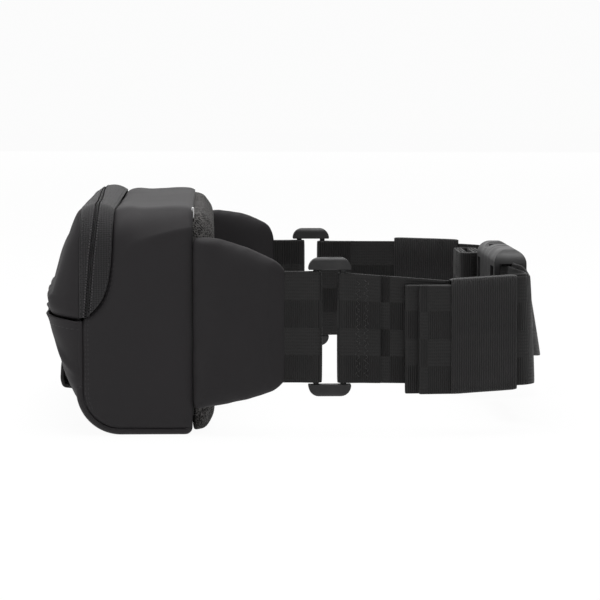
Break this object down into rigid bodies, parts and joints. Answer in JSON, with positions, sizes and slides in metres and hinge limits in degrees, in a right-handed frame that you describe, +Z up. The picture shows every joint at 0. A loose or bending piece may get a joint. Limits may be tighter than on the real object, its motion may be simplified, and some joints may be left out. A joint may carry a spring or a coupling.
{
  "type": "waist pack",
  "caption": "Padded waist pack with a fold-down zipped front, padded side wings and a wide webbing belt closed by a side-release buckle.",
  "frame": {"origin": "middle of the flat base the pack rests on", "axes": "+Z up; -Y towards the pack's front, +Y towards the wearer and the belt; +X to the pack's right side seen from the front"},
  "size_m": [0.233, 0.2345, 0.1038],
  "materials": {
    "foam": "matt closed-cell foam",
    "mesh": "open spacer mesh",
    "shell_nylon": "fine woven nylon with a soft sheen",
    "lining_cloth": "plain woven lining",
    "binding_tape": "ribbed tape",
    "zip_tape": "knitted zipper tape",
    "zip_coil": "nylon coil",
    "webbing": "ribbed nylon webbing",
    "slider_metal": "black enamel",
    "moulded_plastic": "fine satin texture",
    "elastic": "ribbed woven elastic"
  },
  "bodies": {
    "pack": {"back_pad": "foam", "back_mesh": "mesh", "side_panel_right": "shell_nylon", "side_panel_left": "shell_nylon", "top_panel": "shell_nylon", "bottom_panel": "shell_nylon", "front_wall": "shell_nylon", "lining": "lining_cloth", "lower_pocket": "shell_nylon", "lash_loop_right": "webbing", "lash_loop_left": "webbing", "seam_binding": "binding_tape", "zip_tape_body": "zip_tape", "zip_coil_body": "zip_coil", "wing_right": "shell_nylon", "wing_left": "shell_nylon", "wing_strap_right": "webbing", "wing_strap_left": "webbing"},
    "flap": {"flap_panel": "shell_nylon", "flap_pouch": "shell_nylon", "zip_tape_flap": "zip_tape", "zip_coil_flap": "zip_coil"},
    "slider": {"zip_slider": "slider_metal"},
    "pull": {"zip_pull": "slider_metal"},
    "ring_right": {"ring_right": "moulded_plastic"},
    "ring_left": {"ring_left": "moulded_plastic"},
    "belt": {"belt_right": "webbing", "belt_left": "webbing", "belt_surplus_right": "webbing", "belt_roll_left": "webbing", "buckle_socket": "moulded_plastic", "buckle_plug": "moulded_plastic"},
    "prong_upper": {"prong_upper": "moulded_plastic"},
    "prong_lower": {"prong_lower": "moulded_plastic"},
    "keeper_right": {"keeper_right": "elastic"},
    "keeper_left": {"keeper_left": "elastic"}
  },
  "joints": [
    {"name": "flap_open", "type": "hinge", "parent": "pack", "child": "flap", "pos_m": [0, -0.05, 0.0561], "axis": [1, 0, 0], "range_deg": [0, 90]},
    {"name": "zip_slide", "type": "slide", "parent": "pack", "child": "slider", "axis": [0, 0, 1], "range_m": [0, 0.017]},
    {"name": "zip_pull_swing", "type": "hinge", "parent": "slider", "child": "pull", "pos_m": [-0.1163, -0.0285, 0.0652], "axis": [0, 1, 0], "range_deg": [0, 150]},
    {"name": "ring_right_swing", "type": "hinge", "parent": "pack", "child": "ring_right", "pos_m": [0.1115, 0.0724, 0.0479], "axis": [0, 0, 1], "range_deg": [-25, 25]},
    {"name": "belt_swing", "type": "hinge", "parent": "ring_right", "child": "belt", "pos_m": [0.1115, 0.0846, 0.0479], "axis": [0, 0, 1], "range_deg": [-25, 25]},
    {"name": "ring_left_swing", "type": "hinge", "parent": "pack", "child": "ring_left", "pos_m": [-0.1115, 0.0724, 0.0479], "axis": [0, 0, 1], "range_deg": [-25, 25]},
    {"name": "prong_upper_squeeze", "type": "hinge", "parent": "belt", "child": "prong_upper", "pos_m": [0.046, 0.1641, 0.0649], "axis": [0, -1, 0], "range_deg": [0, 9], "stiffness_Nm_per_rad": 1},
    {"name": "prong_lower_squeeze", "type": "hinge", "parent": "belt", "child": "prong_lower", "pos_m": [0.046, 0.1641, 0.0309], "axis": [0, 1, 0], "range_deg": [0, 9], "stiffness_Nm_per_rad": 1},
    {"name": "keeper_right_slide", "type": "slide", "parent": "belt", "child": "keeper_right", "axis": [-0.0698, 0.9976, 0], "range_m": [-0.033, 0]},
    {"name": "keeper_left_slide", "type": "slide", "parent": "belt", "child": "keeper_left", "axis": [0.0698, 0.9976, 0], "range_m": [-0.025, 0]}
  ],
  "couplings": [
    {"joint": "belt_swing", "follows": "ring_right_swing", "ratio": -1},
    {"joint": "ring_left_swing", "follows": "ring_right_swing", "ratio": 1},
    {"joint": "prong_lower_squeeze", "follows": "prong_upper_squeeze", "ratio": 1}
  ]
}
